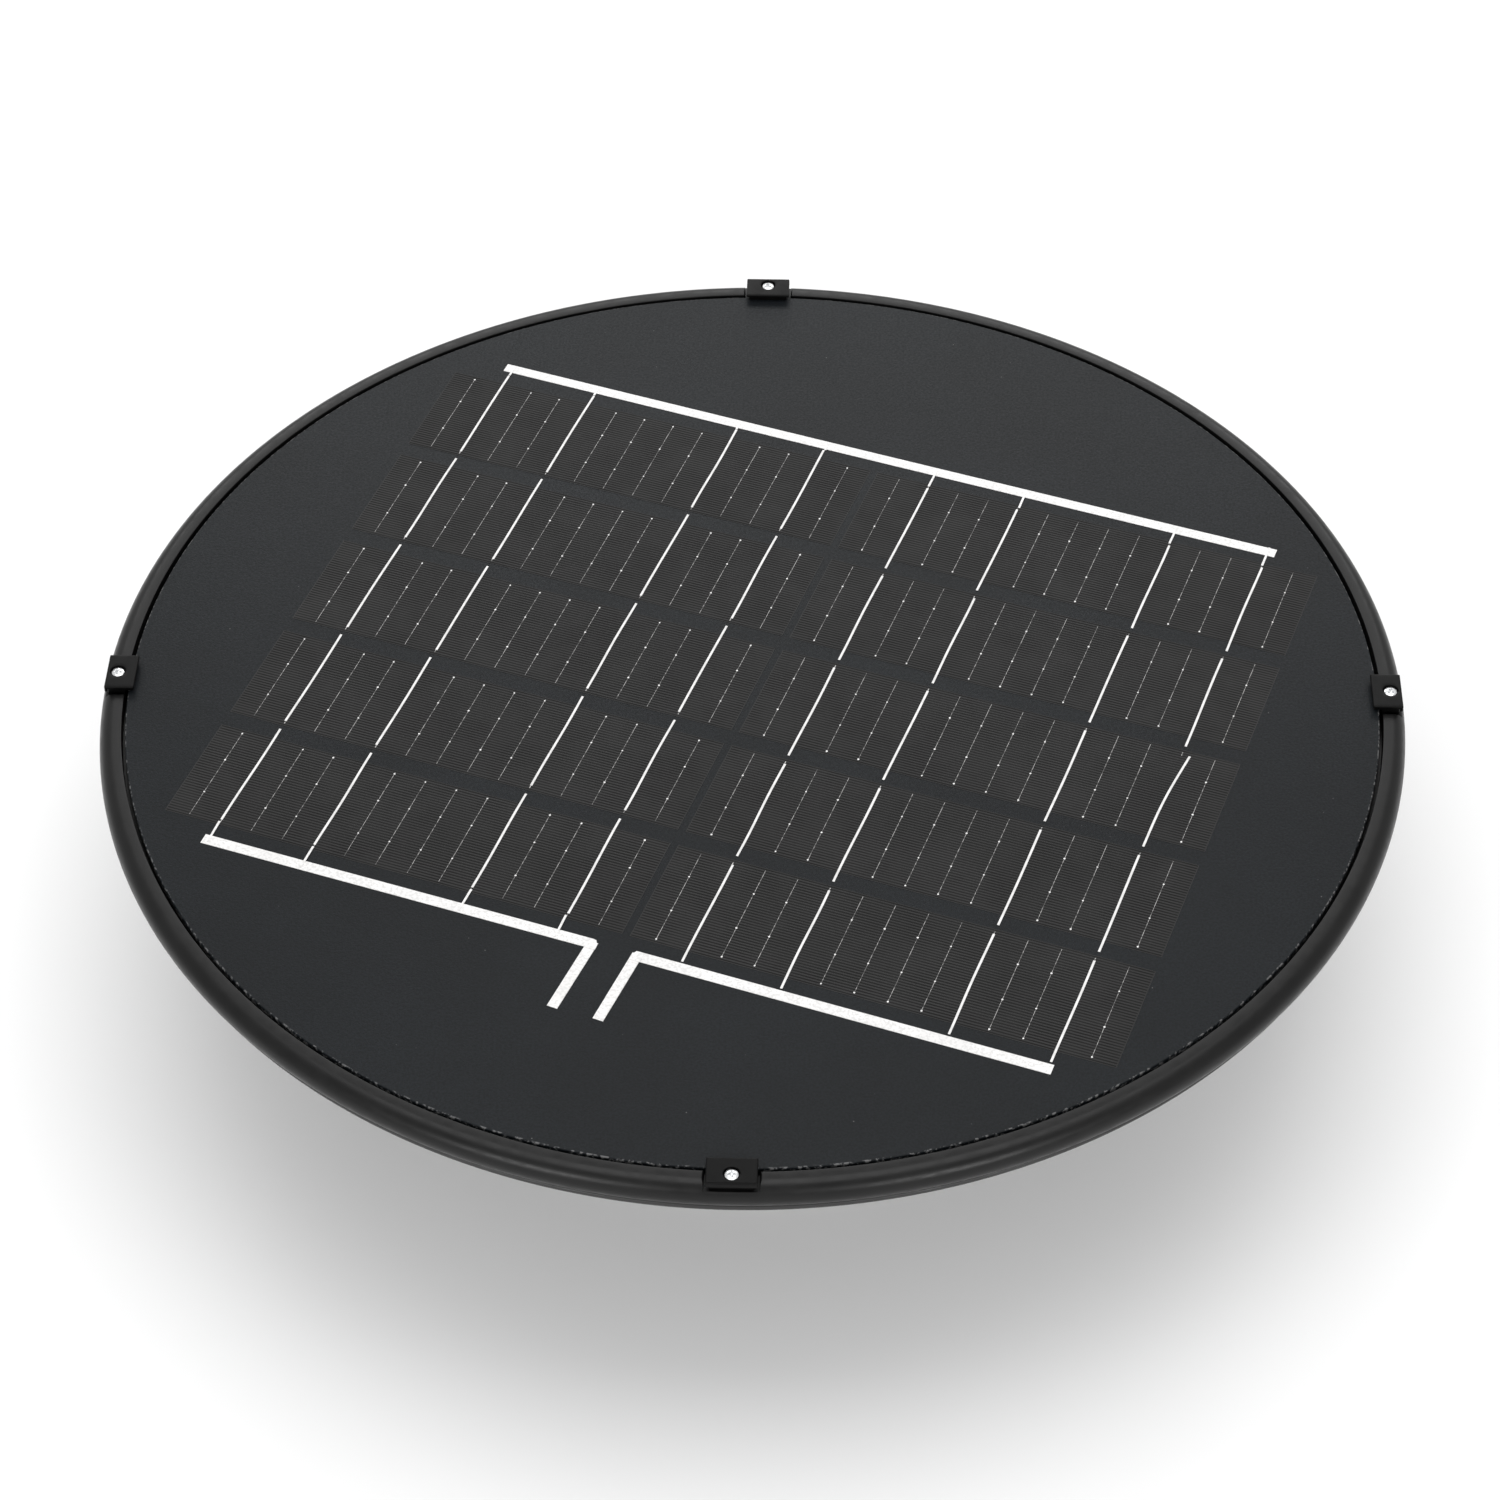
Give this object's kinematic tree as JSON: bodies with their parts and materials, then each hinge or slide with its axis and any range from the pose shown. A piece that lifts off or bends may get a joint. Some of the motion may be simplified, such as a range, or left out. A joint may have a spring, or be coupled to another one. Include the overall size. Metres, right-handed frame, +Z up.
{
  "type": "solar attic fan",
  "caption": "Round solar attic fan head: a flat photovoltaic panel lid in a rolled black rim, with a motor-driven extract fan in a flanged duct below.",
  "frame": {"origin": "on the fan's axis, at the bottom edge of the duct, which is the lowest point of the part", "axes": "+Z up along the fan's axis, out of the roof; the four panel clips lie on +X, +Y, -X and -Y"},
  "size_m": [0.569, 0.569, 0.1532],
  "materials": {
    "black_powder_coat": "satin black powder coat on aluminium sheet",
    "black_moulding": "satin black moulded rim with a fine grain",
    "panel_laminate": "matt textured laminate, dark grey",
    "silicon_cell": "dark silicon under the laminate, finely ruled",
    "tinned_copper": "dull tinned copper strip",
    "black_plastic": "satin black moulded plastic",
    "zinc_plated_steel": "bright zinc plate",
    "mill_aluminium": "mill-finish rolled aluminium",
    "galvanised_steel": "galvanised sheet",
    "closed_cell_foam": "black closed-cell foam",
    "black_rubber": "matt black rubber",
    "copper_winding": "enamelled copper winding",
    "bright_steel": "turned steel"
  },
  "bodies": {
    "housing": {"hood_pan": "black_powder_coat", "base_flange": "black_powder_coat", "motor_housing": "black_powder_coat", "duct": "mill_aluminium", "motor_end_cap": "mill_aluminium", "hood_bracket_1": "mill_aluminium", "hood_bracket_2": "mill_aluminium", "hood_bracket_3": "mill_aluminium", "hood_bracket_4": "mill_aluminium", "insect_screen": "galvanised_steel", "motor_bracket": "galvanised_steel", "rim_ring": "black_moulding", "pv_board": "panel_laminate", "cell_strip_01": "silicon_cell", "cell_strip_02": "silicon_cell", "cell_strip_03": "silicon_cell", "cell_strip_04": "silicon_cell", "cell_strip_05": "silicon_cell", "cell_strip_06": "silicon_cell", "cell_strip_07": "silicon_cell", "cell_strip_08": "silicon_cell", "cell_strip_09": "silicon_cell", "cell_strip_10": "silicon_cell", "bus_far": "tinned_copper", "bus_near_left": "tinned_copper", "bus_near_right": "tinned_copper", "panel_clip_1": "black_plastic", "panel_clip_2": "black_plastic", "panel_clip_3": "black_plastic", "panel_clip_4": "black_plastic", "junction_box": "black_plastic", "junction_box_lid": "black_plastic", "clip_screw_1": "zinc_plated_steel", "clip_screw_2": "zinc_plated_steel", "clip_screw_3": "zinc_plated_steel", "clip_screw_4": "zinc_plated_steel", "head_screw_1": "zinc_plated_steel", "head_screw_2": "zinc_plated_steel", "head_screw_3": "zinc_plated_steel", "head_screw_4": "zinc_plated_steel", "foot_screw_1": "zinc_plated_steel", "foot_screw_2": "zinc_plated_steel", "foot_screw_3": "zinc_plated_steel", "foot_screw_4": "zinc_plated_steel", "bracket_screw_1": "zinc_plated_steel", "bracket_screw_2": "zinc_plated_steel", "bracket_screw_3": "zinc_plated_steel", "bracket_screw_4": "zinc_plated_steel", "panel_gasket": "closed_cell_foam", "cable_grommet": "black_rubber", "motor_lead": "black_rubber", "motor_stator": "copper_winding", "bearing_upper": "bright_steel", "bearing_lower": "bright_steel"},
    "rotor": {"fan_blades": "mill_aluminium", "fan_hub": "bright_steel", "hub_nut": "zinc_plated_steel", "motor_shaft": "bright_steel", "motor_rotor": "bright_steel"}
  },
  "joints": [
    {"name": "fan_spin", "type": "hinge", "parent": "housing", "child": "rotor", "pos_m": [0, 0, 0.048], "axis": [0, 0, 1], "continuous": true}
  ]
}
